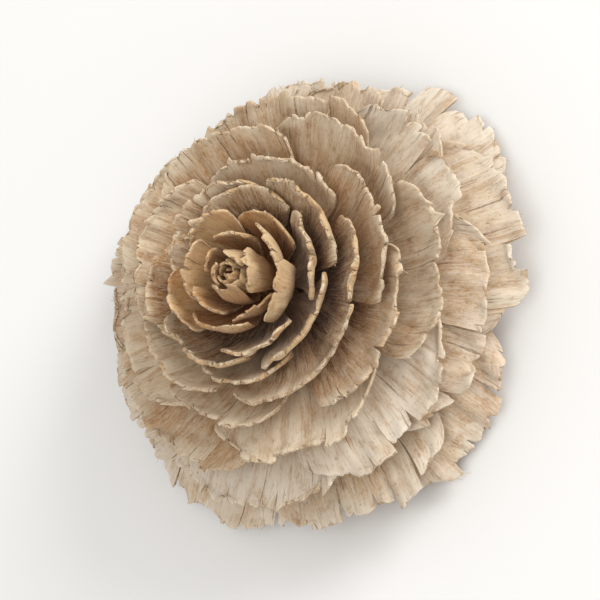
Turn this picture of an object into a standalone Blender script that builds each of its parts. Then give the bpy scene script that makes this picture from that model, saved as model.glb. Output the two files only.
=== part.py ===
"""A cedar rose: the top of a bleached deodar cone, with its woody scales still on the cone's axis.

Run it with: blender --background --python part.py

The rose stands upright, +Z up, in metres. Its origin is the centre of the axis's broken lower end,
which is flat. Every scale is one solid: a thin fan that leaves the axis on a narrow foot. The scales
sit a golden angle apart, and each lies on its own surface of revolution about the axis. Those
surfaces are nested, the lowest scale's outermost, so no two scales can meet.
"""

import math
import random

import bmesh
import bpy
from mathutils import Vector

# The scales, from the lowest to the topmost.
TIERS = (("outer_scale", 16), ("middle_scale", 14), ("inner_scale", 12), ("bud_scale", 16))
SCALE_COUNT = sum(number for _, number in TIERS)
GOLDEN_ANGLE = math.radians(137.508)
SEED = 7

# Where the rims lie, as (level, radius, height) in metres: level 0 is the lowest scale's, 1 the
# topmost's. Together they make the rose's dome.
RIM_CURVE = (
    (0.00, 0.0302, 0.0004),
    (0.14, 0.0290, 0.0058),
    (0.28, 0.0252, 0.0122),
    (0.42, 0.0200, 0.0178),
    (0.56, 0.0148, 0.0216),
    (0.70, 0.0102, 0.0240),
    (0.85, 0.0054, 0.0254),
    (1.00, 0.0008, 0.0258),
)

# The axis, as (radius, height) from the broken end up to the point inside the bud.
AXIS_PROFILE = (
    (0.0040, 0.0000),
    (0.0043, 0.0007),
    (0.0041, 0.0030),
    (0.0038, 0.0050),
    (0.0028, 0.0115),
    (0.0015, 0.0178),
    (0.0006, 0.0196),
)
AXIS_SIDES = 20
LOWEST_FOOT = 0.0042
TOPMOST_FOOT = 0.0182
FOOT_GAP = 0.0003

# A scale's thickness at its foot, and its rim's share of that.
FOOT_THICKNESS = 0.00080
RIM_THICKNESS_SHARE = 0.62

AXIS_COLOUR = (0.30, 0.19, 0.11)
TIER_COLOURS = {
    "outer_scale": (0.58, 0.46, 0.33),
    "middle_scale": (0.54, 0.41, 0.28),
    "inner_scale": (0.42, 0.30, 0.19),
    "bud_scale": (0.33, 0.21, 0.12),
}


def mix(a, b, share):
    """The value that lies share of the way from a to b."""
    return a + (b - a) * share


def clear_scene():
    """Removes whatever the scene holds."""
    for obj in list(bpy.data.objects):
        bpy.data.objects.remove(obj)


def make_material(name, colour):
    """A rough, dry wood."""
    material = bpy.data.materials.new(name)
    material.use_nodes = True
    shader = material.node_tree.nodes["Principled BSDF"]
    shader.inputs["Base Color"].default_value = (*colour, 1.0)
    shader.inputs["Roughness"].default_value = 0.85
    shader.inputs["Metallic"].default_value = 0.0
    return material


def axis_radius(height):
    """The axis's radius at this height."""
    for (low_r, low_z), (high_r, high_z) in zip(AXIS_PROFILE, AXIS_PROFILE[1:]):
        if height <= high_z:
            return mix(low_r, high_r, (height - low_z) / (high_z - low_z))
    return AXIS_PROFILE[-1][0]


def rim_place(level):
    """(radius, height) of the rims at this level."""
    for low, high in zip(RIM_CURVE, RIM_CURVE[1:]):
        if level <= high[0]:
            share = (level - low[0]) / (high[0] - low[0])
            return mix(low[1], high[1], share), mix(low[2], high[2], share)
    return RIM_CURVE[-1][1:]


def build_axis():
    """The cone's axis: a turned core with a flat lower end and a blunt top."""
    mesh = bpy.data.meshes.new("cone_axis")
    bm = bmesh.new()
    rings = []
    for radius, height in AXIS_PROFILE:
        ring = bmesh.ops.create_circle(bm, segments=AXIS_SIDES, radius=radius)["verts"]
        bmesh.ops.translate(bm, verts=ring, vec=(0, 0, height))
        rings.append(ring)
    for low, high in zip(rings, rings[1:]):
        for i in range(AXIS_SIDES):
            j = (i + 1) % AXIS_SIDES
            bm.faces.new((low[i], low[j], high[j], high[i]))
    bm.faces.new(reversed(rings[0]))
    bm.faces.new(rings[-1])
    bmesh.ops.recalc_face_normals(bm, faces=bm.faces)
    bm.to_mesh(mesh)
    bm.free()
    axis = bpy.data.objects.new("cone_axis", mesh)
    bpy.context.scene.collection.objects.link(axis)
    mesh.materials.append(make_material("axis_wood", AXIS_COLOUR))
    mesh.shade_smooth()
    mesh.set_sharp_from_angle(angle=math.radians(40))


class Scale:
    """One scale's place and shape. Its level is 0 on the lowest scale and 1 on the topmost."""

    def __init__(self, index, chance):
        self.level = index / (SCALE_COUNT - 1)
        self.azimuth = index * GOLDEN_ANGLE + math.radians(chance.uniform(-4, 4))
        self.reach = chance.uniform(-0.0012, 0.0010) * (1 - self.level)
        self.breadth = chance.uniform(0.93, 1.07)
        self.columns, self.rows = (8, 6) if self.level < 0.72 else (6, 4)

    def meridian(self, along):
        """(radius, height) of the scale's middle at this share of its length: a cubic curve that
        leaves the axis nearly level, then droops on the lowest scales and closes over on the top."""
        height = mix(LOWEST_FOOT, TOPMOST_FOOT, self.level)
        foot = Vector((axis_radius(height) + FOOT_GAP, height))
        leaves = math.radians(17 + 12 * self.level + 38 * self.level**6)
        arrives = math.radians(-33 + 147 * self.level + 15 * math.sin(math.pi * self.level))
        end = Vector((math.cos(arrives), math.sin(arrives)))
        tip = Vector(rim_place(self.level)) + end * self.reach
        pull = 0.37 * (tip - foot).length
        first = foot + pull * Vector((math.cos(leaves), math.sin(leaves)))
        second = tip - pull * end
        a, b = 1 - along, along
        return a**3 * foot + 3 * a * a * b * first + 3 * a * b * b * second + b**3 * tip

    def half_width(self, along):
        """Half the scale's width, measured round the axis, at this share of its length."""
        foot = mix(0.00150, 0.00050, self.level)
        rim_angle = math.radians(mix(22, 42, self.level) + 16 * self.level**6)
        rim = rim_angle * max(rim_place(self.level)[0], 0.0016) * self.breadth
        return mix(foot, rim, math.sin(0.5 * math.pi * along) ** 1.35)

    def rim_share(self, across):
        """How far along its length the scale reaches at this place across it, from -1 to 1.
        The corners are rounded, and two shallow notches part the rim into three lobes."""
        notch = 0.045 * math.exp(-(((abs(across) - 0.25) / 0.12) ** 2))
        return 1 - 0.12 * abs(across) ** 4 - notch * (1 - self.level)

    def point(self, across, along):
        """The place of a point of the scale's middle surface."""
        along *= mix(1, self.rim_share(across), along**2)
        radius, height = self.meridian(along)
        angle = self.azimuth + across * self.half_width(along) / max(radius, 0.0013)
        return Vector((radius * math.cos(angle), radius * math.sin(angle), height))


def build_scale(name, scale, material):
    """A scale as a grid bent onto its surface and given its thickness, which thins to the rim."""
    mesh = bpy.data.meshes.new(name)
    bm = bmesh.new()
    bmesh.ops.create_grid(bm, x_segments=scale.columns, y_segments=scale.rows, size=1.0)
    bm.verts.index_update()
    along_of = {vert.index: (vert.co.y + 1) / 2 for vert in bm.verts}
    for vert in bm.verts:
        vert.co = scale.point(vert.co.x, along_of[vert.index])
    bm.to_mesh(mesh)
    bm.free()
    body = bpy.data.objects.new(name, mesh)
    bpy.context.scene.collection.objects.link(body)
    group = body.vertex_groups.new(name="thickness")
    for index, along in along_of.items():
        group.add([index], (1 - along) ** 2, "REPLACE")
    solidify = body.modifiers.new("thickness", "SOLIDIFY")
    solidify.thickness = FOOT_THICKNESS * mix(1.0, 0.62, scale.level)
    solidify.offset = 0.0
    solidify.use_even_offset = True
    solidify.vertex_group = group.name
    solidify.thickness_vertex_group = RIM_THICKNESS_SHARE
    mesh.materials.append(material)
    mesh.shade_smooth()
    mesh.set_sharp_from_angle(angle=math.radians(50))


def main():
    clear_scene()
    build_axis()
    chance = random.Random(SEED)
    index = 0
    for tier, number in TIERS:
        material = make_material(tier, TIER_COLOURS[tier])
        for place in range(number):
            build_scale(f"{tier}_{place + 1:02d}", Scale(index, chance), material)
            index += 1


main()
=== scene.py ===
"""The looks of a cedar rose: the bleached top of a deodar cone, its woody scales split and frayed.

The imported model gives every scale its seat: the curve it lies along, the way it faces and how wide
it opens. One flat fan of wood is modelled for each tier. Every scale is a copy of its tier's fan,
split and frayed along its fibres, pressed on to its own seat and then given its thickness.
All sizes are in metres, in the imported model's frame, +Z up, unless they are said to be millimetres.
"""

import logging
import math
from dataclasses import dataclass
from enum import Enum

import bmesh
import bpy
import numpy as np
from mathutils import Euler, Matrix, Vector


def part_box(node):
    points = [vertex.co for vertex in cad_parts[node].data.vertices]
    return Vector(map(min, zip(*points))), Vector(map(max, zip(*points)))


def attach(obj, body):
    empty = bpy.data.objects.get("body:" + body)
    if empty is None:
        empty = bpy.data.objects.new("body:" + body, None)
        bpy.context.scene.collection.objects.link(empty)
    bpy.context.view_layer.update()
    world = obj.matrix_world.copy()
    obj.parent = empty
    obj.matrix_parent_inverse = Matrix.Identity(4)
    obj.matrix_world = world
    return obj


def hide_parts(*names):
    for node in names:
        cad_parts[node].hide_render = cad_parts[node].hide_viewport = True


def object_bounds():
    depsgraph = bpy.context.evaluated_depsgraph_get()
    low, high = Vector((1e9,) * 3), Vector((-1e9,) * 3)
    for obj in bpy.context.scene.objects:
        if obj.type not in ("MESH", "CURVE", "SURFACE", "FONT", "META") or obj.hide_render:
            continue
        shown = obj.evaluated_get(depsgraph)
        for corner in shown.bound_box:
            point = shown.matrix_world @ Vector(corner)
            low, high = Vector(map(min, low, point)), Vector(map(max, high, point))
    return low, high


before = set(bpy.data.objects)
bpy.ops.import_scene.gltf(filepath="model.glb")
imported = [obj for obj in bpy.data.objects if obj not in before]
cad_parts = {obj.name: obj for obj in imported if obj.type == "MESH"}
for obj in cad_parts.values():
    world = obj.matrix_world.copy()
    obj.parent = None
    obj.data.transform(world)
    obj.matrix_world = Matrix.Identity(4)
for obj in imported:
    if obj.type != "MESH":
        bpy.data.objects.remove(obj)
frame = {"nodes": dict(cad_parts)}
cad_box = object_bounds()

LOG = logging.getLogger("cedar_rose")
MM = 0.001
BODY = "root"
SMOOTH_BELOW = math.radians(50)

Array = np.ndarray
Mesh = bpy.types.Mesh
Output = bpy.types.NodeSocket
Pair = tuple[float, float]
Piece = bpy.types.Object
Tree = bpy.types.NodeTree

# A seat's curve: its places, the steps that it is fitted over, the fit's degree and the tightest
# radius that wood is turned about.
SEAT_PLACES = 81
FIT_STEPS = 240
FIT_DEGREE = 4
TIGHTEST_TURN = 1.3 * MM

# Which of the bleached wood's marks are the streaks that the weather follows.
STREAKS = 3

# The size of the blade's unevenness, across and along the fibres in millimetres.
FOLD = (3.6, 9.0)
SMALL_FOLD = (1.7, 5.0)
DENT = (1.8, 2.4)
PLEAT = (1.0, 8.0)
FINE_PLEAT = (0.55, 5.0)
RIM_BITE = 1.2
RIM_NICK = 0.5


class Tier(Enum):
    """The rose's tiers of scales: the value is how their nodes' names begin."""

    OUTER = "outer_scale"
    MIDDLE = "middle_scale"
    INNER = "inner_scale"
    BUD = "bud_scale"


def mix(a: float, b: float, share: float) -> float:
    """The value that lies share of the way from a to b."""
    return a + (b - a) * share


def ease(x: Array) -> Array:
    """A smooth step from 0 to 1 as x goes from 0 to 1."""
    x = np.clip(x, 0.0, 1.0)
    return x * x * (3.0 - 2.0 * x)


def linear(hex_colour: str) -> tuple[float, float, float, float]:
    """Turns an sRGB colour to the linear form that a node's socket takes.

    Args:
        hex_colour: the colour, as six hex digits after a #.

    Returns:
        Its linear red, green and blue, and 1.
    """
    parts = [int(hex_colour[i : i + 2], 16) / 255 for i in (1, 3, 5)]
    red, green, blue = (c / 12.92 if c <= 0.04045 else ((c + 0.055) / 1.055) ** 2.4 for c in parts)
    return red, green, blue, 1.0


def report(piece: Piece) -> None:
    """Says that a piece is finished."""
    LOG.info("%s: %d faces", piece.name, len(piece.data.polygons))


def deselect_all() -> None:
    """Leaves nothing selected, because operators act on all that is."""
    if bpy.context.object and bpy.context.object.mode != "OBJECT":
        bpy.ops.object.mode_set(mode="OBJECT")
    bpy.ops.object.select_all(action="DESELECT")


def take(piece: Piece) -> None:
    """Makes one piece the only one selected, and the active one.

    Args:
        piece: the piece.
    """
    deselect_all()
    piece.select_set(True)
    bpy.context.view_layer.objects.active = piece


def join(piece: Piece, others: list[Piece]) -> None:
    """Joins other pieces into one.

    Args:
        piece: the one that stays.
        others: the ones that it takes in.
    """
    take(piece)
    for other in others:
        other.select_set(True)
    bpy.ops.object.join()


def copy_of(blank: Piece, name: str) -> Piece:
    """Copies a piece.

    Args:
        blank: the piece.
        name: the copy's name.

    Returns:
        The copy, with a mesh of its own.
    """
    piece = bpy.data.objects.new(name, blank.data.copy())
    bpy.context.scene.collection.objects.link(piece)
    return piece


def read(data: bpy.types.bpy_prop_collection, name: str, width: int = 1) -> Array:
    """Reads one property of every vertex, corner or face.

    Args:
        data: the collection that they are in.
        name: the property's name.
        width: how many numbers it has.

    Returns:
        The property's number for each, or a row for each where it has more than one.
    """
    values = np.empty(len(data) * width)
    data.foreach_get(name, values)
    return values.reshape(-1, width) if width > 1 else values


def read_attribute(mesh: Mesh, name: str) -> Array:
    """A named number of every vertex or face."""
    return read(mesh.attributes[name].data, "value")


def corner_vertices(mesh: Mesh) -> Array:
    """The vertex that each corner of each face is at."""
    return read(mesh.loops, "vertex_index").astype(int)


def write_attribute(mesh: Mesh, name: str, values: Array, domain: str = "POINT") -> None:
    """Stores a named number with every vertex (POINT) or face (FACE).

    Args:
        mesh: the mesh.
        name: the number's name.
        values: the numbers.
        domain: what they are stored with.
    """
    attribute = mesh.attributes.get(name) or mesh.attributes.new(name, "FLOAT", domain)
    attribute.data.foreach_set("value", np.asarray(values, dtype=np.float32))


def lay_grain(mesh: Mesh, across: Array, along: Array) -> None:
    """Lays the grain map, the only one that a piece keeps.

    Args:
        mesh: the piece's mesh.
        across: each vertex's place across the fibres, in millimetres.
        along: each vertex's place along the fibres, in millimetres.
    """
    while mesh.uv_layers:
        mesh.uv_layers.remove(mesh.uv_layers[0])
    layer = mesh.uv_layers.new(name="grain")
    grain = np.stack([across, along], axis=1)[corner_vertices(mesh)]
    layer.data.foreach_set("uv", grain.astype(np.float32).ravel())


class Relief:
    """Smooth random heights over two directions, the same on every run."""

    def __init__(self, chance: np.random.Generator, size: int = 64) -> None:
        """Draws a table of heights from -1 to 1, with size cells each way before it repeats."""
        self.size = size
        self.table = chance.uniform(-1.0, 1.0, (size, size))

    def __call__(self, x: Array, y: Array) -> Array:
        """The height at each place, from -1 to 1.

        Args:
            x: places along the first direction, in cells.
            y: places along the second, in cells.

        Returns:
            The heights.
        """
        left, low = np.floor(x).astype(int), np.floor(y).astype(int)
        share_x, share_y = ease(x - left), ease(y - low)
        near = self.table[left % self.size, low % self.size]
        right = self.table[(left + 1) % self.size, low % self.size]
        up = self.table[left % self.size, (low + 1) % self.size]
        far = self.table[(left + 1) % self.size, (low + 1) % self.size]
        bottom = near + (right - near) * share_x
        return bottom + (up + (far - up) * share_x - bottom) * share_y


# ---- finishes ----


def fill(tree: Tree, node: bpy.types.Node, **inputs: object) -> None:
    """Links or fills a node's inputs.

    Args:
        tree: the material's tree.
        node: the node.
        inputs: for each input, by its name with _ for a space, or in0, in1 and so on by place,
            another node's output or a value.
    """
    for name, value in inputs.items():
        by_place = name.startswith("in") and name[2:].isdigit()
        socket = node.inputs[int(name[2:]) if by_place else name.replace("_", " ")]
        if isinstance(value, Output):
            tree.links.new(value, socket)
        else:
            socket.default_value = value


def add_node(tree: Tree, kind: str, settings: dict | None = None, **inputs: object) -> bpy.types.Node:
    """Adds a node.

    Args:
        tree: the material's tree.
        kind: the node's type.
        settings: values of the node's own properties.
        inputs: its inputs, as fill takes them.

    Returns:
        The new node.
    """
    node = tree.nodes.new(kind)
    for name, value in (settings or {}).items():
        setattr(node, name, value)
    fill(tree, node, **inputs)
    return node


@dataclass
class Coats:
    """A new material, whose colour and relief are built up coat by coat."""

    name: str  # the material's name
    colour: object  # the colour so far: the ground's six hex digits after a #, then an output
    relief: object = 0.0  # the height so far

    def __post_init__(self) -> None:
        """Makes the empty material."""
        self.material = bpy.data.materials.new(self.name)
        self.material.use_nodes = True
        self.tree = self.material.node_tree
        self.colour = linear(self.colour)

    def coat(self, where: Output, starts: float, ends: float, colour: str, share: float = 1.0,
             kind: str = "MIX") -> None:
        """Lays a colour over the ones so far.

        Args:
            where: the value that says where the coat lies.
            starts: the value at which it begins to show.
            ends: the value at which it shows most, which may be the lower of the two.
            colour: its colour.
            share: how much of it shows at most.
            kind: how it is mixed.
        """
        shown = add_node(self.tree, "ShaderNodeMapRange", {"interpolation_type": "SMOOTHSTEP"},
                         Value=where, From_Min=starts, From_Max=ends, To_Min=0.0, To_Max=share)
        mixed = add_node(self.tree, "ShaderNodeMix", {"data_type": "RGBA", "blend_type": kind},
                         Factor=shown.outputs["Result"], in6=self.colour, in7=linear(colour))
        self.colour = mixed.outputs[2]

    def raise_by(self, value: Output, amount: float) -> None:
        """Adds a value, times an amount, to the relief."""
        self.relief = add_node(self.tree, "ShaderNodeMath", {"operation": "MULTIPLY_ADD"},
                               in0=value, in1=amount, in2=self.relief).outputs[0]

    def finish(self, strength: float, depth: float, **inputs: object) -> bpy.types.Material:
        """Gives the shader the colour, the relief and its other inputs.

        Args:
            strength: how strongly the relief shows.
            depth: how deep it is, in millimetres.
            inputs: the shader's other inputs, as fill takes them.

        Returns:
            The finished material.
        """
        bump = add_node(self.tree, "ShaderNodeBump", None,
                        Strength=strength, Distance=depth * MM, Height=self.relief)
        shader = self.tree.nodes["Principled BSDF"]
        fill(self.tree, shader, Base_Color=self.colour, Normal=bump.outputs["Normal"], **inputs)
        return self.material


@dataclass(frozen=True)
class Figure:
    """One kind of mark in bleached wood: noise, drawn out along the fibres."""

    across: float  # the marks' size across the fibres, in millimetres
    along: float  # their size along the fibres, in millimetres
    starts: float  # the noise at which they begin to show
    ends: float  # the noise at which they show most
    colour: str  # their colour
    share: float  # how much they show at most
    kind: str = "MIX"  # how they are mixed into the wood's colour
    relief: float = 0.0  # how far they raise the wood, as a share of the bump's height
    detail: float = 3.0  # how many times finer marks are added to them


@dataclass(frozen=True)
class BleachedScaleWood:
    """Deodar scale wood, split by drying and bleached: dull and mottled, faintly streaked along its
    fibres, browner towards its foot, where the unbleached wood is brown and painted shade darkens it
    further, with hairline cracks and a nap of loose fibres.
    """

    name: str  # the material's name
    rim: str  # the colour at the rim, where the weather has bleached the wood most
    blade: str  # the colour half way out
    foot: str  # the colour at the foot, deep inside the rose: the unbleached wood's brown, made darker as painted shade for the crevices
    resin: str  # the colour of the resin stains
    pale: str  # the colour of the palest marks
    foot_end: float  # how far out the foot's colour ends, as a share of the scale's length
    blade_end: float  # how far out the blade's colour is reached
    rim_end: float = 1.24  # how far out the rim's colour is reached, once mottling and tint are added
    streaking: float = 0.34  # how far the weather follows the streaks
    tinting: float = 0.16  # how far it follows a lobe's own tint
    shade: str = "#B98C5E"  # painted shade: what the wood is multiplied by deep in the crevices towards the foot

    def figures(self) -> list[Figure]:
        """Lists the wood's marks.

        Returns:
            The marks, in the order in which they are laid. A single fibre is about 0.03 mm wide,
            too fine to show, so the streaks are drawn as coarse as bundles of fibres.
        """
        return [
            Figure(5.2, 7.5, 0.50, 0.72, self.resin, 0.48, detail=3.0),
            Figure(3.0, 3.8, 0.48, 0.78, self.pale, 0.50, relief=0.8, detail=5.0),
            Figure(2.0, 2.4, 0.46, 0.30, "#CDAC86", 0.45, "MULTIPLY", relief=0.6, detail=5.0),
            Figure(1.3, 9.0, 0.47, 0.30, "#CDAE86", 0.42, "MULTIPLY", relief=0.7),
            Figure(0.34, 4.2, 0.50, 0.68, self.pale, 0.42, relief=0.4),
            Figure(0.30, 2.8, 0.46, 0.30, "#BF9D74", 0.38, "MULTIPLY", relief=0.5),
            Figure(0.60, 13.0, 0.29, 0.22, "#7E5A38", 0.60, "MULTIPLY", relief=0.6, detail=1.0),
            Figure(0.45, 0.60, 0.30, 0.22, "#86603C", 0.55, "MULTIPLY", relief=0.5, detail=2.0),
            Figure(0.16, 0.7, 0.45, 0.62, self.pale, 0.30, relief=0.35, detail=2.0),
        ]

    def make(self) -> bpy.types.Material:
        """Builds the wood on the piece's own grain map, whose unit is a millimetre.

        Returns:
            The material.
        """
        wood = Coats(self.name, self.foot)
        grain = add_node(wood.tree, "ShaderNodeUVMap", {"uv_map": "grain"}).outputs["UV"]
        outward, tint = (
            add_node(wood.tree, "ShaderNodeAttribute", {"attribute_name": name}).outputs["Fac"]
            for name in ("rimward", "tint")
        )
        marks = []
        for number, figure in enumerate(self.figures()):
            drawn = add_node(wood.tree, "ShaderNodeMapping", {"vector_type": "POINT"},
                             Vector=grain, Location=(17.3 * number, 5.1 * number, 0.0),
                             Scale=(1 / figure.across, 1 / figure.along, 1.0))
            noise = add_node(wood.tree, "ShaderNodeTexNoise", {"noise_dimensions": "2D"},
                             Vector=drawn.outputs["Vector"], Scale=1.0, Detail=figure.detail,
                             Roughness=0.60)
            marks.append((figure, noise.outputs["Fac"]))
        # The wood's place from foot to rim, moved by its streaks and its lobe's tint: it sets how far the
        # weather has bleached the wood, and, towards the foot, where the painted shade lies.
        weathered = outward
        for value, amount in ((marks[STREAKS][1], self.streaking), (tint, self.tinting)):
            weathered = add_node(wood.tree, "ShaderNodeMath", {"operation": "MULTIPLY_ADD"},
                                 in0=value, in1=amount, in2=weathered).outputs[0]
        wood.coat(weathered, self.foot_end, self.blade_end, self.blade)
        wood.coat(weathered, self.blade_end, self.rim_end, self.rim)
        wood.coat(tint, 0.58, 1.0, self.pale, 0.50)
        wood.coat(tint, 0.42, 0.0, self.resin, 0.50)
        for figure, noise in marks:
            wood.coat(noise, figure.starts, figure.ends, figure.colour, figure.share, figure.kind)
            wood.raise_by(noise, figure.relief)
        # Painted shade: deep in the crevices towards the foot, the wood is multiplied by a darker, warmer
        # brown, as shade and light bounced between the scales would make it.
        wood.coat(weathered, self.blade_end, self.foot_end, self.shade, 0.6, "MULTIPLY")
        return wood.finish(0.55, 0.11, Roughness=0.88, Specular_IOR_Level=0.2, Sheen_Weight=0.08,
                           Sheen_Roughness=0.6)


@dataclass(frozen=True)
class TornWood:
    """Scale wood torn across its fibres: a close stubble of fibre ends, dull and browner in its pits."""

    name: str  # the material's name
    fresh: str  # the colour of the paler fibre ends
    weathered: str  # the colour of the rest
    pit: str  # the colour between them
    stubble: float = 0.20  # the size of a tuft in millimetres: single fibre ends are too fine to show
    patch: float = 1.7  # the size of the paler patches in millimetres

    def make(self) -> bpy.types.Material:
        """Builds the wood on Object coordinates, because torn ends have no direction.

        Returns:
            The material.
        """
        wood = Coats(self.name, self.weathered)
        place = add_node(wood.tree, "ShaderNodeTexCoord").outputs["Object"]
        stubble, patch = (
            add_node(wood.tree, "ShaderNodeTexNoise", None,
                     Vector=place, Scale=1 / (size * MM), Detail=3.0).outputs["Fac"]
            for size in (self.stubble, self.patch)
        )
        wood.coat(patch, 0.42, 0.66, self.fresh)
        wood.coat(stubble, 0.52, 0.32, self.pit, 0.85)
        wood.raise_by(stubble, 1.0)
        return wood.finish(0.8, 0.15, Roughness=0.93, Specular_IOR_Level=0.15)


@dataclass(frozen=True)
class CoreWood:
    """The brown core wood of the cone: rough, short-grained and crumbling, nearly without shine."""

    name: str = "deodar_core_wood"  # the material's name
    light: str = "#AD8960"  # the colour of the paler fibres
    dark: str = "#70502F"  # the colour of the rest
    dust: str = "#BFA078"  # the colour of the dusty lumps
    hollow: str = "#8A6A4A"  # what the hollows between the lumps are multiplied by
    lump: float = 0.9  # the size of a lump in millimetres
    fibre: float = 0.25  # the width of a bundle in millimetres: single fibres are too fine to show

    def make(self) -> bpy.types.Material:
        """Builds the wood on Object coordinates, drawn out along the cone's axis.

        Returns:
            The material.
        """
        wood = Coats(self.name, self.dark)
        place = add_node(wood.tree, "ShaderNodeTexCoord").outputs["Object"]
        fine = 0.5 / (self.fibre * MM)
        drawn = add_node(wood.tree, "ShaderNodeMapping", {"vector_type": "POINT"},
                         Vector=place, Scale=(fine, fine, 0.12 * fine)).outputs["Vector"]
        fibres, lumps = (
            add_node(wood.tree, "ShaderNodeTexNoise", None,
                     Vector=vector, Scale=scale, Detail=detail).outputs["Fac"]
            for vector, scale, detail in ((drawn, 1.0, 4.0), (place, 1 / (self.lump * MM), 3.0))
        )
        wood.coat(fibres, 0.30, 0.72, self.light)
        wood.coat(lumps, 0.55, 0.75, self.dust, 0.5)
        wood.coat(lumps, 0.45, 0.25, self.hollow, 0.5, "MULTIPLY")
        wood.raise_by(fibres, 0.6)
        wood.raise_by(lumps, 0.8)
        return wood.finish(0.8, 0.2, Roughness=0.92, Specular_IOR_Level=0.15)


@dataclass(frozen=True)
class StudioPaper:
    """Matt white backdrop paper: an even pale ground."""

    name: str = "backdrop_paper"  # the material's name
    tone: str = "#F2F1EF"  # its colour
    tooth: float = 0.4  # the size of its grain in millimetres: the real grain is too fine to show

    def make(self) -> bpy.types.Material:
        """Builds the paper on Object coordinates.

        Returns:
            The material.
        """
        paper = Coats(self.name, self.tone)
        place = add_node(paper.tree, "ShaderNodeTexCoord").outputs["Object"]
        paper.relief = add_node(paper.tree, "ShaderNodeTexNoise", None,
                                Vector=place, Scale=1 / (self.tooth * MM), Detail=2.0).outputs["Fac"]
        return paper.finish(0.1, 0.02, Roughness=0.9, Specular_IOR_Level=0.2)


# ---- seats ----


@dataclass(frozen=True)
class Seat:
    """Where one scale sits: a curve turned about the axis."""

    azimuth: float  # the way it faces
    curve: Array  # even places along it, as rows of (radius, height) from the foot to the rim
    length: float  # the curve's length
    rim_half: float  # half the width of the scale at its rim, along the turn

    @classmethod
    def along_line(cls, azimuth: float, line: Array, rim_half: float) -> "Seat":
        """A seat whose curve follows a line of any spacing.

        Args:
            azimuth: the way it faces.
            line: rows of (radius, height) from the foot to the rim.
            rim_half: half the width at the rim.

        Returns:
            The seat.
        """
        run = np.concatenate([[0.0], np.cumsum(np.hypot(*np.diff(line, axis=0).T))])
        even = np.linspace(0.0, run[-1], SEAT_PLACES)
        curve = np.stack([np.interp(even, run, line[:, i]) for i in (0, 1)], axis=1)
        return cls(azimuth, curve, float(run[-1]), rim_half)

    @classmethod
    def measure(cls, solid: Piece, axis_top: float) -> "Seat":
        """Reads a seat from a scale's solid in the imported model.

        Args:
            solid: the node's object.
            axis_top: the height of the cone's axis, below which the foot is.

        Returns:
            The seat.
        """
        co = read(solid.data.vertices, "co", 3)
        radius, height = np.hypot(co[:, 0], co[:, 1]), co[:, 2]
        turn = np.arctan2(co[:, 1], co[:, 0])
        azimuth = math.atan2(np.sin(turn).mean(), np.cos(turn).mean())
        aside = np.abs((turn - azimuth + math.pi) % (2 * math.pi) - math.pi)
        low = height < axis_top
        foot_radius = radius[low].min()
        foot_height = height[low][radius[low] < foot_radius + 0.05 * MM].mean()
        distance = np.hypot(radius - foot_radius, height - foot_height)
        steps = np.linspace(0.0, distance.max(), FIT_STEPS)
        line = [np.polyval(np.polyfit(distance, line, FIT_DEGREE), steps) for line in (radius, height)]
        rim_half = float((aside * np.maximum(radius, TIGHTEST_TURN)).max())
        return cls.along_line(azimuth, np.stack(line, axis=1), rim_half)

    def press(self, flat: Array) -> Array:
        """Lays flat wood on the seat.

        Args:
            flat: rows of (across, along, lift) in metres. Lift is towards the scale's upper side.

        Returns:
            The same places in the rose's frame.
        """
        count = len(self.curve)
        place = np.clip(flat[:, 1] / self.length, 0.0, 1.0) * (count - 1)
        index = np.minimum(place.astype(int), count - 2)
        share = (place - index)[:, None]
        slope = np.gradient(self.curve, axis=0)
        slope /= np.linalg.norm(slope, axis=1)[:, None]
        here = self.curve[index] * (1 - share) + self.curve[index + 1] * share
        way = slope[index] * (1 - share) + slope[index + 1] * share
        beyond = flat[:, 1] - np.clip(flat[:, 1], 0.0, self.length)
        here = here + way * beyond[:, None]
        turn = self.azimuth - flat[:, 0] / np.maximum(here[:, 0], TIGHTEST_TURN)
        radius = here[:, 0] - way[:, 1] * flat[:, 2]
        height = here[:, 1] + way[:, 0] * flat[:, 2]
        return np.stack([radius * np.cos(turn), radius * np.sin(turn), height], axis=1)


# ---- scales ----


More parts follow.
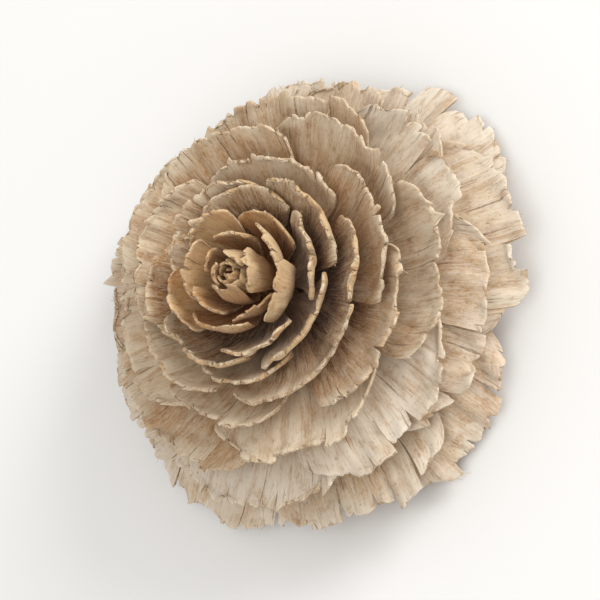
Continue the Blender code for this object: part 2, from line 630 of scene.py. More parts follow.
@dataclass(frozen=True)
class Fan:
    """A tier's flat fan of wood, before it is split. It is one unit long and two wide."""

    columns: int  # the faces across it
    rows: int  # the faces along it, which crowd towards the rim
    foot_share: float  # its width at the foot, as a share of the rim's
    crowding: float = 1.5  # how much the rows crowd: 1 is not at all
    opening: float = 1.35  # how late it opens: higher is later

    def half_width(self, along: Array) -> Array:
        """Half the fan's width at this share of its length, as a share of the rim's."""
        return self.foot_share + (1 - self.foot_share) * np.sin(0.5 * math.pi * along) ** self.opening

    def along(self, step: Array) -> Array:
        """How far out a row lies, from its even place, both from 0 to 1."""
        return 1 - (1 - step) ** self.crowding

    def model(self, name: str) -> Piece:
        """Models the fan from a grid, whose rows are moved outward and narrowed one by one.

        Args:
            name: the fan's name.

        Returns:
            The fan, whose vertices know how far across (-1 to 1) and rimward (0 to 1) they are, and
            whose faces know their column.
        """
        deselect_all()
        bpy.ops.mesh.primitive_grid_add(
            x_subdivisions=self.columns, y_subdivisions=self.rows, size=2.0, location=(0, 0, 0)
        )
        fan = bpy.context.object
        fan.name = name
        mesh = fan.data
        flat = read(mesh.vertices, "co", 3)
        write_attribute(mesh, "across", flat[:, 0])
        write_attribute(mesh, "rimward", self.along(np.clip((flat[:, 1] + 1) / 2, 0, 1)))
        centre = read(mesh.polygons, "center", 3)[:, 0]
        column = np.floor((centre + 1) / 2 * self.columns)
        write_attribute(mesh, "column", column, "FACE")
        bpy.ops.object.mode_set(mode="EDIT")
        grid = bmesh.from_edit_mesh(mesh)
        for row in range(self.rows, -1, -1):
            even = row / self.rows * 2 - 1
            along = float(self.along(row / self.rows))
            bpy.ops.mesh.select_all(action="DESELECT")
            for vert in grid.verts:
                if abs(vert.co.y - even) < 0.2 / self.rows:
                    vert.select = True
            grid.select_flush_mode()
            bpy.ops.transform.translate(value=(0, along - even, 0))
            width = float(self.half_width(along))
            bpy.ops.transform.resize(value=(width, 1, 1), center_override=(0, along, 0))
        bpy.ops.object.mode_set(mode="OBJECT")
        return fan


@dataclass(frozen=True)
class Fibre:
    """A loose fibre at a torn rim: a three-sided sliver of wood, drawn out to a point."""

    joints: int = 4  # the stretches that it can bend between
    tip: float = 0.35  # its thickness at the tip, as a share of the root's

    def model(self) -> Piece:
        """Models the fibre along +Z, cut across so that it can bend.

        Returns:
            The fibre, one unit long and thick.
        """
        deselect_all()
        bpy.ops.mesh.primitive_cone_add(
            vertices=3, radius1=0.5, radius2=0.5 * self.tip, depth=1.0, location=(0, 0, 0.5)
        )
        fibre = bpy.context.object
        fibre.name = "loose_fibre"
        bpy.ops.object.transform_apply(location=True, rotation=True, scale=True)
        bpy.ops.object.mode_set(mode="EDIT")
        for joint in range(1, self.joints):
            bpy.ops.mesh.select_all(action="SELECT")
            bpy.ops.mesh.bisect(plane_co=(0, 0, joint / self.joints), plane_no=(0, 0, 1))
        bpy.ops.object.mode_set(mode="OBJECT")
        return fibre


@dataclass(frozen=True)
class Wear:
    """How a tier's scales have split, frayed and warped. Lengths are in millimetres, and a pair is
    the least and the most that chance draws. The values given here are the middle tier's.
    """

    width: Pair = (0.94, 1.12)  # how wide the wood opens, as a share of its seat's width
    shortfall: float = 2.4  # how far a whole scale may have broken back, which most did a little
    tilt: float = 0.7  # how far a whole scale is raised or lowered at its rim
    curl: Pair = (-0.5, 1.0)  # how far the rim curls up
    ripple: float = 0.42  # the height of the broad folds at the rim
    crumple: float = 0.17  # the height of the small dents
    pleat: float = 0.13  # the height of the pleats that run along the fibres
    lobes: tuple[int, int] = (4, 6)  # how many strips the deep splits leave
    split_depth: Pair = (0.06, 0.36)  # how deep the deep splits go, as a share of the length
    split_gap: Pair = (0.04, 0.30)  # how far the deep splits have opened
    lobe_reach: float = 0.9  # how far back a lobe may have broken
    lobe_lift: float = 0.6  # how far a lobe has warped up or down
    camber: Pair = (-0.2, 0.5)  # how far a lobe's middle has risen above its edges
    headroom: float = 1.2  # how far the wood can leave its seat at the rim before it meets the next scale
    tooth_width: Pair = (1.0, 3.6)  # the width of the teeth between the short splits
    tooth_depth: Pair = (0.3, 2.4)  # the depth of the short splits
    tooth_reach: float = 0.24  # how far back a tooth has broken
    ragged: float = 0.30  # how far the rim has crumbled between the splits
    slivers: float = 0.05  # the share of teeth that are drawn out as slivers
    fibres: int = 6  # how many loose fibres there are
    fibre_length: Pair = (0.4, 1.0)  # how long they are
    fibre_thickness: Pair = (0.10, 0.20)  # how thick they are
    foot_thickness: float = 0.90  # the wood's thickness at the foot
    rim_thickness: float = 0.42  # its thickness towards the rim


@dataclass
class Blade:
    """A split fan on the flat, while it is being shaped. Each array has a row for each vertex."""

    mesh: Mesh  # the fan's mesh
    across: Array  # -1 to 1 across the fan
    along: Array  # 0 to 1 along it
    column: Array  # the lowest column of the vertex's faces
    width: Array  # the fan's width there, in millimetres
    flat: Array  # the place across, the place along and the lift, in millimetres


@dataclass
class Strips:
    """The strips that a row of splits leaves."""

    lines: list[int]  # the columns that the splits run between, with both sides of the fan
    roots: list[float]  # how far out each of them starts, as a share of the length
    columns: int  # the fan's columns

    def weights(self, blade: Blade) -> tuple[Array, Array, Array, Array]:
        """For each vertex, the strip that it is on, and how the strip can move it.

        Args:
            blade: the split fan.

        Returns:
            The strip's number, the place across it from -1 to 1, a weight that grows from 0 at the
            roots of the splits on both sides to 1 at the rim, and the strip's width in millimetres.
        """
        strip = np.searchsorted(np.array(self.lines[1:-1]), blade.column, side="right")
        edges = np.array(self.lines) / self.columns * 2 - 1
        roots = np.array(self.roots)
        left, right = edges[strip], edges[strip + 1]
        place = (blade.across - left) / (right - left)
        root = roots[strip] + (roots[strip + 1] - roots[strip]) * np.clip(place, 0, 1)
        wide = (np.diff(np.array(self.lines)) / self.columns)[strip] * blade.width
        return strip, place * 2 - 1, ease((blade.along - root) / (1 - root)), wide


@dataclass
class Scale:
    """One scale of the rose: a copy of its tier's fan, split, frayed and pressed on to its seat.
    Its sizes are in millimetres, apart from the two lowest heights.
    """

    seat: Seat  # where it sits
    fan: Fan  # the fan that it is a copy of
    wear: Wear  # how it has worn
    chance: np.random.Generator  # what its own splits and warps are drawn from
    corner: float = 0.12  # how far the rim's ends are rounded back, as a share of the length
    side_root: float = 0.62  # where the free length of the outermost strips starts
    sunk: float = 1.0  # how far the foot reaches into the core
    round_off: float = 0.5  # how far from the rim its edge is worn round
    overhang: float = 0.7  # how far past its seat it may reach
    floor: float = 0.3 * MM  # the lowest that the middle of the wood may lie
    fibre_floor: float = 0.05 * MM  # the lowest that a loose fibre may lie
    fibre_root: float = 0.35  # how far back from the rim a loose fibre starts
    lobe_drift: float = 0.35  # how far a lobe has moved to a side
    tooth_drift: float = 0.06  # how far a tooth usually has
    tooth_rise: float = 0.12  # how far up or down a tooth has warped
    tooth_slant: float = 0.16  # how steeply a tooth's end usually slants
    tooth_blunt: Pair = (0.04, 0.24)  # how far the corners of a tooth's end are rounded back
    tooth_slim: float = 0.34  # how far a tooth has shrunk at most, as a share of its width
    sliver_slim: float = 0.6  # how far a sliver has
    sliver_reach: Pair = (0.2, 1.0)  # how far out a sliver reaches
    sliver_rise: float = 0.35  # how far up or down a sliver has warped
    unevenness: float = 0.28  # how far the thickness varies, as a share of it
    grain_shifts: float = 400  # how far apart two scales' grain may be taken from

    def __post_init__(self) -> None:
        """Works out the seat's size in millimetres."""
        self.length = self.seat.length / MM
        self.rim_half = self.seat.rim_half / MM

    def splits(self) -> tuple[Strips, Strips]:
        """Chooses where the wood has split: a few deep splits, and many short ones at the rim.

        Returns:
            The lobes between the deep splits, and the teeth between all of them.
        """
        columns, wear, chance = self.fan.columns, self.wear, self.chance
        number = int(chance.integers(wear.lobes[0], wear.lobes[1] + 1))
        inner = []
        for i in range(1, number):
            line = round(columns * (i / number + chance.uniform(-0.28, 0.28) / number))
            inner.append(min(max(line, 3), columns - 3))
        inner = sorted(set(inner))
        depths = [mix(*wear.split_depth, chance.uniform(0, 1) ** 2.0) for _ in inner]
        sides = self.side_root
        lobes = Strips([0, *inner, columns], [sides, *[1 - d for d in depths], sides], columns)
        per_mm = columns / (2 * self.rim_half)
        lines, roots = [0], [1 - wear.tooth_depth[1] / self.length]
        while lines[-1] < columns:
            following = lines[-1] + max(2, round(chance.uniform(*wear.tooth_width) * per_mm))
            passed = [line for line in inner if lines[-1] < line < following]
            lines.append(passed[0] if passed else min(following, columns))
            depth = chance.uniform(*wear.tooth_depth) * chance.uniform(0.3, 1.0)
            roots.append(1 - depth / self.length)
        return lobes, Strips(lines, roots, columns)

    def split(self, piece: Piece, lobes: Strips, teeth: Strips) -> None:
        """Parts the fan's faces along its fibres, from the rim down to each split's root.

        Args:
            piece: the fan's copy.
            lobes: the strips between the deep splits.
            teeth: the strips between all the splits.
        """
        depth = {}
        for strips in (teeth, lobes):
            for line, root in zip(strips.lines[1:-1], strips.roots[1:-1]):
                depth[line] = min(root, depth.get(line, 1.0))
        take(piece)
        bpy.ops.object.mode_set(mode="EDIT")
        bpy.ops.mesh.select_mode(type="EDGE")
        bpy.ops.mesh.select_all(action="DESELECT")
        sheet = bmesh.from_edit_mesh(piece.data)
        across, rimward = (sheet.verts.layers.float[name] for name in ("across", "rimward"))
        for edge in sheet.edges:
            one, two = edge.verts
            if abs(one[across] - two[across]) > 1e-4:
                continue
            root = depth.get(round((one[across] + 1) / 2 * self.fan.columns))
            if root is not None and min(one[rimward], two[rimward]) > root:
                edge.select = True
        bpy.ops.mesh.edge_split(type="EDGE")
        bpy.ops.object.mode_set(mode="OBJECT")

    def relief(self, at_rim: Array, run: Array, along: Array) -> Array:
        """The lift of the blade's folds, dents and pleats.

        Args:
            at_rim: where each vertex's fibre meets the rim, in millimetres from its middle.
            run: how far along its fibre the vertex is, in millimetres.
            along: the same as a share of the length.

        Returns:
            Millimetres of lift for each vertex.
        """
        wear, chance = self.wear, self.chance

        def at(size: Pair, shift: float = 0.0) -> tuple[Array, Array]:
            """Each vertex's place in cells of a size."""
            return at_rim / size[0] + shift, run / size[1]

        fold, dent, pleat = Relief(chance), Relief(chance), Relief(chance)
        lift = chance.uniform(*wear.curl) * ease((along - 0.6) / 0.4)
        lift += chance.uniform(-wear.tilt, wear.tilt) * along**2
        lift += wear.ripple * fold(*at(FOLD)) * along**1.5
        lift += 0.35 * wear.ripple * fold(*at(SMALL_FOLD, 31.0)) * along**2
        lift += wear.crumple * dent(*at(DENT)) * (0.2 + 0.8 * along**2)
        lift += wear.pleat * pleat(*at(PLEAT)) * (0.3 + 0.7 * along)
        return lift + 0.4 * wear.pleat * pleat(*at(FINE_PLEAT, 17.0))

    def shape(self, mesh: Mesh, lobes: Strips, teeth: Strips) -> Blade:
        """Shapes the split fan on the flat.

        Args:
            mesh: the split fan.
            lobes: the strips between the deep splits.
            teeth: the strips between all the splits.

        Returns:
            The shaped blade.
        """
        across, along = read_attribute(mesh, "across"), read_attribute(mesh, "rimward")
        of_face = read_attribute(mesh, "column").astype(int)
        column = np.full(len(across), self.fan.columns)
        np.minimum.at(column, corner_vertices(mesh), np.repeat(of_face, 4))
        chance, wear = self.chance, self.wear
        at_rim, run = across * self.rim_half, along * self.length
        half = self.fan.half_width(along) * self.rim_half * chance.uniform(*wear.width)
        flat = np.stack([across * half, run, self.relief(at_rim, run, along)], axis=1)
        flat[:, 1] -= wear.shortfall * chance.uniform(0, 1) ** 2.5 * along**2
        flat[:, 1] -= self.corner * self.length * np.abs(across) ** 4 * along**3
        crumbled = Relief(chance)
        bite = crumbled(at_rim / RIM_BITE, 0 * run) + 0.6 * crumbled(at_rim / RIM_NICK, 0 * run + 9.0)
        flat[:, 1] -= wear.ragged * np.clip(0.5 + 0.6 * bite, 0, 1.6) * ease((along - 0.9) / 0.1)
        blade = Blade(mesh, across, along, column, 2 * half, flat)
        self.warp_lobes(blade, lobes)
        self.fray_teeth(blade, teeth)
        room = wear.headroom * (0.3 + 0.7 * ease(along / 0.9))
        flat[:, 2] = room * np.tanh(flat[:, 2] / room)
        flat[:, 1] -= self.sunk * (1 - ease(along / 0.12))
        beyond = np.maximum(flat[:, 1] - self.length, 0.0)
        flat[:, 1] += self.overhang * np.tanh(beyond / self.overhang) - beyond
        return blade

    def warp_lobes(self, blade: Blade, lobes: Strips) -> None:
        """Moves each lobe on its own, and gives it its own tint.

        Args:
            blade: the blade.
            lobes: the strips between the deep splits.
        """
        strip, place, free, wide = lobes.weights(blade)
        flat, wear, chance, count = blade.flat, self.wear, self.chance, len(lobes.lines) - 1
        own = chance.uniform(0, 1)
        tint = own + (chance.uniform(0, 1, count)[strip] - own) * 0.7 * free
        write_attribute(blade.mesh, "tint", tint)
        gap = chance.uniform(*wear.split_gap, count)[strip]
        flat[:, 0] -= place * gap * free * np.minimum(1.0, wide / 3.0)
        flat[:, 0] += chance.uniform(-self.lobe_drift, self.lobe_drift, count)[strip] * free
        reach = chance.uniform(-wear.lobe_reach, 0.45 * wear.lobe_reach, count)
        flat[:, 1] += reach[strip] * free
        rise = chance.uniform(-0.6 * wear.lobe_lift, wear.lobe_lift, count)[strip]
        roll = chance.uniform(-0.6, 0.6, count)[strip] * wear.lobe_lift * place
        camber = chance.uniform(*wear.camber, count)[strip] * (1 - place**2)
        flat[:, 2] += (rise + roll + camber) * free

    def fray_teeth(self, blade: Blade, teeth: Strips) -> None:
        """Breaks each tooth back on its own, draws some out as slivers, and marks worn edges.

        Args:
            blade: the blade.
            teeth: the strips between all the splits.
        """
        strip, place, free, wide = teeth.weights(blade)
        flat, wear, chance, count = blade.flat, self.wear, self.chance, len(teeth.lines) - 1
        slim = self.tooth_slim * chance.uniform(0, 1, count) ** 2.2
        reach = -np.abs(chance.normal(0, wear.tooth_reach, count))
        lifted = chance.normal(0, self.tooth_rise, count)
        sliver = chance.uniform(0, 1, count) < wear.slivers
        reach[sliver] = chance.uniform(*self.sliver_reach, sliver.sum())
        slim[sliver] = self.sliver_slim
        lifted[sliver] = chance.normal(0, self.sliver_rise, sliver.sum())
        slant = chance.normal(0, self.tooth_slant, count)
        blunt = chance.uniform(*self.tooth_blunt, count)
        end = slant[strip] * place - blunt[strip] * np.abs(place) ** 3
        flat[:, 0] -= place * 0.5 * wide * slim[strip] * free
        flat[:, 1] += np.clip(end * wide, -0.8, 0.5) * free**2
        flat[:, 0] += chance.normal(0, self.tooth_drift, count)[strip] * free
        flat[:, 1] += reach[strip] * free
        flat[:, 2] += lifted[strip] * free
        write_attribute(blade.mesh, "worn", (np.abs(place) > 0.999) * free)

    def thicken(self, piece: Piece) -> None:
        """Gives the blade its thickness: most at the foot, worn thin and round at its edges.

        Args:
            piece: the scale, as a blade without thickness.
        """
        wear, mesh = self.wear, piece.data
        along, worn = read_attribute(mesh, "rimward"), read_attribute(mesh, "worn")
        from_rim = np.clip((1 - along) * self.length / self.round_off, 0, 1)
        rounding = 0.42 + 0.58 * np.sqrt(1 - (1 - from_rim) ** 2)
        full = wear.rim_thickness + (wear.foot_thickness - wear.rim_thickness) * (1 - along) ** 2
        at_rim = read_attribute(mesh, "across") * self.rim_half
        uneven = 1 + self.unevenness * Relief(self.chance)(at_rim / 1.6, along * 6.0)
        thickness = full * rounding * uneven * (1 - 0.35 * worn)
        group = piece.vertex_groups.new(name="thickness")
        for index, share in enumerate(thickness / wear.foot_thickness):
            group.add([index], float(min(share, 1.0)), "REPLACE")
        solidify = piece.modifiers.new("thickness", "SOLIDIFY")
        solidify.thickness = wear.foot_thickness * MM
        solidify.offset = 0.0
        solidify.vertex_group = group.name
        solidify.material_offset = 1
        solidify.material_offset_rim = 2
        take(piece)
        bpy.ops.object.modifier_apply(modifier=solidify.name)
        piece.vertex_groups.clear()

    def loosen_fibres(self, piece: Piece, fibre: Piece, roots: Array) -> None:
        """Sets loose fibres at the torn rim.

        Args:
            piece: the scale, which they are joined to.
            fibre: the fibre that they are copies of.
            roots: the rim's places on the flat, in millimetres.
        """
        chance, wear = self.chance, self.wear
        shape = read(fibre.data.vertices, "co", 3)
        out = shape[:, 2]
        fibres = []
        for _ in range(wear.fibres):
            root = roots[chance.integers(len(roots))]
            length = chance.uniform(*wear.fibre_length)
            thick = chance.uniform(*wear.fibre_thickness)
            slant, rise = chance.normal(0, 0.35), chance.normal(0.0, 0.30)
            bend, lift = chance.normal(0, 0.25), chance.normal(0, 0.30)
            flat = np.empty_like(shape)
            flat[:, 0] = root[0] + out * length * math.sin(slant) + bend * length * out**2
            flat[:, 1] = root[1] - self.fibre_root + out * length * math.cos(slant)
            flat[:, 2] = root[2] + length * (rise * out + lift * out**2)
            flat[:, 0] += shape[:, 0] * thick
            flat[:, 2] += shape[:, 1] * thick
            placed = self.seat.press(flat * MM)
            placed[:, 2] = np.maximum(placed[:, 2], self.fibre_floor)
            loose = copy_of(fibre, "loose_fibre")
            mesh = loose.data
            mesh.vertices.foreach_set("co", placed.ravel())
            lay_grain(mesh, shape[:, 0] + chance.uniform(0, self.grain_shifts), out * length)
            write_attribute(mesh, "rimward", np.full(len(shape), 0.95))
            write_attribute(mesh, "tint", np.full(len(shape), chance.uniform(0.2, 0.9)))
            mesh.materials.clear()
            mesh.materials.append(piece.data.materials[2])
            fibres.append(loose)
        join(piece, fibres)

    def make(self, name: str, blank: Piece, fibre: Piece, woods: list[bpy.types.Material]) -> Piece:
        """Makes the finished scale.

        Args:
            name: its name.
            blank: the modelled fan.
            fibre: the modelled fibre.
            woods: the woods of its upper side, its back and its rim.

        Returns:
            The piece.
        """
        piece = copy_of(blank, name)
        lobes, teeth = self.splits()
        self.split(piece, lobes, teeth)
        mesh = piece.data
        blade = self.shape(mesh, lobes, teeth)
        placed = self.seat.press(blade.flat * MM)
        placed[:, 2] = np.maximum(placed[:, 2], self.floor)
        mesh.vertices.foreach_set("co", placed.ravel())
        shift = self.chance.uniform(0, self.grain_shifts, 2)
        lay_grain(mesh, blade.across * self.rim_half + shift[0], blade.along * self.length + shift[1])
        mesh.materials.clear()
        for wood in woods:
            mesh.materials.append(wood)
        self.thicken(piece)
        if self.wear.fibres:
            self.loosen_fibres(piece, fibre, blade.flat[blade.along > 0.999])
        take(piece)
        bpy.ops.object.shade_smooth_by_angle(angle=SMOOTH_BELOW)
        return piece


@dataclass(frozen=True)
class TierLook:
    """What the scales of a tier share: their fan, their wear and the wood of their upper side."""

    fan: Fan  # the flat fan that each scale is a copy of
    wear: Wear  # how they have worn
    wood: BleachedScaleWood  # what their upper side is made of


TIER_LOOKS = {
    Tier.OUTER: TierLook(
        Fan(columns=116, rows=46, foot_share=0.14),
        Wear(
            width=(0.98, 1.16), shortfall=1.3, tilt=0.7, curl=(-0.6, 0.8), ripple=0.60, crumple=0.24,
            pleat=0.19, lobes=(4, 7), split_depth=(0.06, 0.42), split_gap=(0.05, 0.34),
            lobe_reach=1.5, lobe_lift=0.9, camber=(-0.3, 0.6), tooth_width=(1.1, 4.2),
            tooth_depth=(0.3, 2.8), tooth_reach=0.22, ragged=0.36, slivers=0.06, fibres=8,
            fibre_length=(0.4, 1.1), foot_thickness=0.95, rim_thickness=0.36,
        ),
        BleachedScaleWood(
            name="outer_scale_wood", rim="#DACBB5", blade="#CAB494", foot="#7E5329",
            resin="#C09A70", pale="#E4D9C9", foot_end=0.38, blade_end=0.76,
        ),
    ),
    Tier.MIDDLE: TierLook(
        Fan(columns=104, rows=42, foot_share=0.14),
        Wear(),
        # The middle scales' dark foot colour reaches half way out: partly the wood's own brown, partly
        # painted shade for the crevices between them.
        BleachedScaleWood(
            name="middle_scale_wood", rim="#D7C5A9", blade="#BC9D77", foot="#664020",
            resin="#B3824F", pale="#DECFB8", foot_end=0.54, blade_end=0.92,
        ),
    ),
    Tier.INNER: TierLook(
        Fan(columns=80, rows=38, foot_share=0.16),
        Wear(
            width=(0.74, 1.0), shortfall=3.2, tilt=0.7, curl=(-0.5, 0.6), ripple=0.36, crumple=0.16,
            pleat=0.07, lobes=(3, 6), split_depth=(0.06, 0.30), split_gap=(0.05, 0.30),
            lobe_reach=1.1, lobe_lift=0.50, camber=(-0.1, 0.3), headroom=1.0, tooth_width=(0.9, 3.4),
            tooth_depth=(0.3, 1.7), tooth_reach=0.22, ragged=0.42, slivers=0.03, fibres=4,
            fibre_length=(0.3, 0.8), foot_thickness=0.80, rim_thickness=0.44,
        ),
        # The inner scales' dark foot colour reaches far towards the rim: partly the wood's own brown,
        # partly painted shade for the deep crevices between them.
        BleachedScaleWood(
            name="inner_scale_wood", rim="#D6C2A4", blade="#A07C53", foot="#54361D",
            resin="#A47143", pale="#DDCDB3", foot_end=0.72, blade_end=1.05,
        ),
    ),
    Tier.BUD: TierLook(
        Fan(columns=48, rows=32, foot_share=0.20),
        Wear(
            width=(0.66, 0.96), shortfall=3.0, tilt=0.5, curl=(-0.5, 0.4), ripple=0.26, crumple=0.15,
            pleat=0.05, lobes=(2, 4), split_depth=(0.06, 0.28), split_gap=(0.05, 0.24),
            lobe_reach=0.9, lobe_lift=0.30, camber=(-0.06, 0.16), headroom=0.6,
            tooth_width=(0.8, 2.8), tooth_depth=(0.2, 1.0), tooth_reach=0.18, ragged=0.36,
            slivers=0.02, fibres=2, fibre_length=(0.25, 0.5), foot_thickness=0.60, rim_thickness=0.33,
        ),
        BleachedScaleWood(
            name="bud_scale_wood", rim="#D9B88A", blade="#C79C66", foot="#74491F",
            resin="#B5763C", pale="#DDC196", foot_end=0.45, blade_end=0.98,
        ),
    ),
}

FURLED_FAN = Fan(columns=18, rows=16, foot_share=0.35)
FURLED_WEAR = Wear(
    width=(0.8, 1.0), shortfall=0.6, tilt=0.08, curl=(-0.05, 0.05), ripple=0.08, crumple=0.06,
    pleat=0.03, lobes=(1, 2), split_depth=(0.05, 0.2), split_gap=(0.02, 0.06), lobe_reach=0.2,
    lobe_lift=0.06, camber=(0.0, 0.05), tooth_width=(0.8, 1.6), tooth_depth=(0.1, 0.3),
    tooth_reach=0.1, ragged=0.2, slivers=0.0, fibres=0, foot_thickness=0.40, rim_thickness=0.30,
)

CLOSED_TIERS = (Tier.INNER, Tier.BUD)

BACK_WOOD = BleachedScaleWood(
    name="scale_back_wood", rim="#C8B193", blade="#AF9069", foot="#75512F",
    resin="#99703F", pale="#CFBDA2", foot_end=0.30, blade_end=0.78,
)
BUD_BACK_WOOD = BleachedScaleWood(
    name="bud_back_wood", rim="#C8AA80", blade="#B39164", foot="#704B29",
    resin="#A66F3C", pale="#D0B690", foot_end=0.38, blade_end=0.92,
)
TORN_WOOD = TornWood("torn_rim_wood", fresh="#DDCFB9", weathered="#C9B395", pit="#967655")
TORN_BUD_WOOD = TornWood("torn_bud_wood", fresh="#DDCBB0", weathered="#C3A788", pit="#805D3C")


@dataclass
class Whorls:
    """All the scales that are nodes, tier by tier, and the furled ones at the rose's heart."""

    nodes: dict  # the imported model's nodes
    axis_top: float  # the height of the cone's axis
    seed: int = 20  # what the scales' own numbers are drawn from

    def build(self) -> None:
        """Builds every scale, from the lowest to the topmost, and then the heart."""
        open_woods = [BACK_WOOD.make(), TORN_WOOD.make()]
        closed_woods = [BUD_BACK_WOOD.make(), TORN_BUD_WOOD.make()]
        fibre = Fibre().model()
        number = 0
        for tier in Tier:
            look = TIER_LOOKS[tier]
            blank = look.fan.model(f"{tier.value}_fan")
            woods = [look.wood.make(), *(closed_woods if tier in CLOSED_TIERS else open_woods)]
            for node in sorted(name for name in self.nodes if name.startswith(tier.value)):
                number += 1
                seat = Seat.measure(self.nodes[node], self.axis_top)
                chance = np.random.default_rng(self.seed + number)
                scale = Scale(seat, look.fan, look.wear, chance)
                piece = scale.make(f"{node}_wood", blank, fibre, woods)
                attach(piece, BODY)
                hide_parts(node)
                report(piece)
            bpy.data.objects.remove(blank)
        report(BudHeart(self.axis_top).build(fibre, woods))
        bpy.data.objects.remove(fibre)


@dataclass
class BudHeart:
    """The smallest scales, furled over the end of the core and too small to be nodes of their own."""

    axis_top: float  # the height of the cone's axis
    count: int = 10  # how many scales there are
    foot: Pair = (1.10 * MM, 0.30 * MM)  # the first and the last one's distance from the axis at the foot
    swell: Pair = (1.75 * MM, 0.75 * MM)  # the same half way up
    rim: Pair = (1.35 * MM, 0.10 * MM)  # the same at the rim
    rise: Pair = (5.6 * MM, 4.7 * MM)  # how far the first and the last one's rims are above the axis
    half: Pair = (1.5 * MM, 0.7 * MM)  # half the first and the last one's width
    golden: float = math.radians(137.5)  # the turn from one scale to the next
    seed: int = 400  # what the scales' own numbers are drawn from

    def seat(self, index: int) -> Seat:
        """Works out one furled scale's seat: its curve swells out and closes over the middle.

        Args:
            index: which scale it is, from 0 at the outside.

        Returns:
            The seat.
        """
        share = index / (self.count - 1)
        foot, swell, rim, rise, half = (
            mix(*pair, share) for pair in (self.foot, self.swell, self.rim, self.rise, self.half)
        )
        step = np.linspace(0, 1, 40)[:, None]
        low = np.array([foot, self.axis_top - 0.6 * MM])
        middle = np.array([2 * swell - 0.5 * (foot + rim), self.axis_top + 0.5 * rise])
        high = np.array([rim, self.axis_top + rise])
        line = (1 - step) ** 2 * low + 2 * step * (1 - step) * middle + step**2 * high
        return Seat.along_line(index * self.golden, line, half)

    def build(self, fibre: Piece, woods: list[bpy.types.Material]) -> Piece:
        """Builds the furled scales as one piece.

        Args:
            fibre: the modelled fibre.
            woods: the woods of a scale's upper side, its back and its rim.

        Returns:
            The piece, riding on the rose's body.
        """
        blank = FURLED_FAN.model("furled_fan")
        pieces = []
        for index in range(self.count):
            chance = np.random.default_rng(self.seed + index)
            scale = Scale(self.seat(index), FURLED_FAN, FURLED_WEAR, chance)
            pieces.append(scale.make("bud_heart_wood", blank, fibre, woods))
        bpy.data.objects.remove(blank)
        heart = pieces[0]
        join(heart, pieces[1:])
        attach(heart, BODY)
        return heart


@dataclass
class ConeAxis:
    """The cone's woody core: tapering, knobbly where scales grew, torn at its lower end."""

    node: str  # the core's node
    solid: Piece  # the node's object
    sides: int = 72  # the faces around it
    rings: int = 44  # the faces along it
    cuts: int = 7  # how often the lower end's edges are cut, so that it can be torn
    knob: float = 0.35 * MM  # the height of the knobs on its side
    torn: float = 1.3 * MM  # how deep its lower end is torn
    seed: int = 3  # what its knobs and tears are drawn from

    def profile(self) -> tuple[list[float], list[float]]:
        """Reads the core's outline from its solid.

        Returns:
            Its radii and their heights, from the broken end up.
        """
        co = read(self.solid.data.vertices, "co", 3)
        heights = sorted(set(np.round(co[:, 2], 5).tolist()))
        rings = [co[np.abs(co[:, 2] - height) < 0.02 * MM] for height in heights]
        return [float(np.hypot(ring[:, 0], ring[:, 1]).max()) for ring in rings], heights

    def build(self) -> Piece:
        """Models the core from a circle, extruded ring by ring and capped, then roughened.

        Returns:
            The piece, riding on the rose's body in place of its node.
        """
        radii, heights = self.profile()
        levels = np.linspace(heights[0], heights[-1], self.rings)
        deselect_all()
        bpy.ops.mesh.primitive_circle_add(
            vertices=self.sides, radius=radii[0], location=(0, 0, 0), fill_type="TRIFAN"
        )
        core = bpy.context.object
        core.name = "cone_axis_wood"
        bpy.ops.object.mode_set(mode="EDIT")
        bpy.ops.mesh.select_all(action="SELECT")
        bpy.ops.mesh.subdivide(number_cuts=self.cuts)
        bpy.ops.mesh.select_all(action="DESELECT")
        bpy.ops.mesh.select_mode(type="EDGE")
        sheet = bmesh.from_edit_mesh(core.data)
        for edge in sheet.edges:
            edge.select = edge.is_boundary
        for below, above in zip(levels, levels[1:]):
            grow = np.interp(above, heights, radii) / np.interp(below, heights, radii)
            bpy.ops.mesh.extrude_edges_move(
                TRANSFORM_OT_translate={"value": (0, 0, float(above - below))}
            )
            bpy.ops.transform.resize(value=(grow, grow, 1), center_override=(0, 0, float(above)))
        bpy.ops.mesh.fill()
        bpy.ops.mesh.select_all(action="SELECT")
        bpy.ops.mesh.normals_make_consistent(inside=False)
        bpy.ops.object.mode_set(mode="OBJECT")
        self.roughen(core)
        core.data.materials.append(CoreWood().make())
        take(core)
        bpy.ops.object.shade_smooth_by_angle(angle=SMOOTH_BELOW)
        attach(core, BODY)
        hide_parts(self.node)
        return core

    def roughen(self, core: Piece) -> None:
        """Raises knobs and furrows on the core's side and tears its lower end.

        Args:
            core: the modelled core.
        """
        chance = np.random.default_rng(self.seed)
        knobs, fibres = Relief(chance), Relief(chance)
        co = read(core.data.vertices, "co", 3)
        radius, turn = np.hypot(co[:, 0], co[:, 1]), np.arctan2(co[:, 1], co[:, 0])
        rise = co[:, 2] / MM
        round_mm = (turn + math.pi) * 4.0
        swell = self.knob * knobs(round_mm / 1.6, rise / 1.3)
        swell += 0.4 * self.knob * fibres(round_mm / 0.5, rise / 3.0)
        swell *= np.minimum(1.0, radius / (3.0 * MM)) * np.minimum(1.0, 0.3 + rise / 1.0)
        grow = np.where(radius > 0.2 * MM, 1 + swell / np.maximum(radius, 0.2 * MM), 1.0)
        co[:, :2] *= grow[:, None]
        end = rise < 0.01
        inward = np.clip(1 - radius / radius[end].max(), 0, 1)
        tear = 0.5 + 0.5 * fibres(co[:, 0] / MM / 0.45 + 30, co[:, 1] / MM / 0.45 + 30)
        hollow = ease(inward / 0.25) * (0.25 + 0.75 * tear) * (0.6 + 0.4 * ease(inward / 0.8))
        co[:, 2] += np.where(end, self.torn * hollow, 0.0)
        core.data.vertices.foreach_set("co", co.ravel())


# ---- studio ----


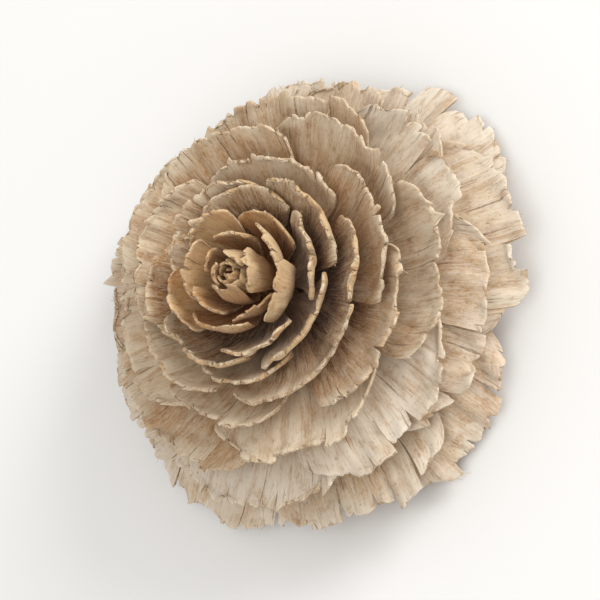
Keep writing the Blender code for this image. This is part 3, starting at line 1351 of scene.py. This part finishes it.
@dataclass
class Studio:
    """The plain pale floor, the soft lights and the camera."""

    middle: Vector  # what the camera looks at
    elevation: float = 57.0  # how far the camera stands above the floor's level, in degrees
    azimuth: float = 20.0  # how far round the rose it stands, in degrees
    roll: float = -72.0  # how far it is turned about its own line of sight, in degrees
    lens: float = 265.0  # its focal length in millimetres
    distance: float = 0.53  # how far it is from the rose
    surround: str = "#FBFAF8"  # the colour of the light from all round
    surround_strength: float = 0.71  # how strong that light is

    def lay_floor(self) -> None:
        """Lays the backdrop paper that the rose rests on."""
        deselect_all()
        bpy.ops.mesh.primitive_plane_add(size=6.0, location=(0, 0, 0))
        floor = bpy.context.object
        floor.name = "floor"
        floor.data.materials.append(StudioPaper().make())

    def camera_turn(self) -> Matrix:
        """The camera's rotation: down at the rose, then rolled about its own line of sight."""
        tilt = Euler((math.radians(90 - self.elevation), 0, math.radians(self.azimuth)))
        return tilt.to_matrix() @ Matrix.Rotation(math.radians(self.roll), 3, "Z")

    def set_camera(self) -> None:
        """Places the camera that the scene is seen with."""
        data = bpy.data.cameras.new("camera")
        data.lens = self.lens
        data.clip_end = 20.0
        camera = bpy.data.objects.new("camera", data)
        bpy.context.scene.collection.objects.link(camera)
        turn = self.camera_turn()
        back = turn @ Vector((0, 0, 1))
        camera.matrix_world = Matrix.Translation(self.middle + back * self.distance) @ turn.to_4x4()
        bpy.context.scene.camera = camera

    def hang_light(self, name: str, way: tuple, distance: float, size: float, power: float) -> None:
        """Hangs a square soft box that faces the rose.

        Args:
            name: the light's name.
            way: where it hangs, as the camera sees it: right, up and towards the camera.
            distance: metres from the rose.
            size: the soft box's side in metres.
            power: its strength in watts.
        """
        data = bpy.data.lights.new(name, "AREA")
        data.size = size
        data.energy = power
        light = bpy.data.objects.new(name, data)
        bpy.context.scene.collection.objects.link(light)
        aim = (self.camera_turn() @ Vector(way)).normalized()
        light.location = self.middle + aim * distance
        light.rotation_euler = aim.to_track_quat("Z", "Y").to_euler()

    def light(self) -> None:
        """Lights the rose from above and behind the camera, with an even pale surround."""
        self.hang_light("key_soft_box", (0.44, 0.78, 0.62), distance=1.1, size=0.50, power=8.4)
        self.hang_light("fill_soft_box", (-0.3, -0.1, 0.9), distance=1.4, size=1.0, power=4.6)
        world = bpy.data.worlds.new("surround")
        bpy.context.scene.world = world
        world.use_nodes = True
        ground = world.node_tree.nodes["Background"]
        ground.inputs["Color"].default_value = linear(self.surround)
        ground.inputs["Strength"].default_value = self.surround_strength
        bpy.context.scene.view_settings.view_transform = "Standard"

    def build(self) -> None:
        """Sets up the whole studio."""
        self.lay_floor()
        self.set_camera()
        self.light()


def main() -> None:
    """Builds the rose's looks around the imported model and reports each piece."""
    logging.basicConfig(level=logging.INFO, format="%(name)s %(message)s")
    nodes = frame["nodes"]
    report(ConeAxis("cone_axis", nodes["cone_axis"]).build())
    Whorls(nodes, float(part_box("cone_axis")[1].z)).build()
    low, high = (Vector(corner) for corner in cad_box)
    middle = Vector(((low.x + high.x) / 2, (low.y + high.y) / 2, mix(low.z, high.z, 0.3)))
    Studio(middle).build()


if __name__ == "__main__":
    main()
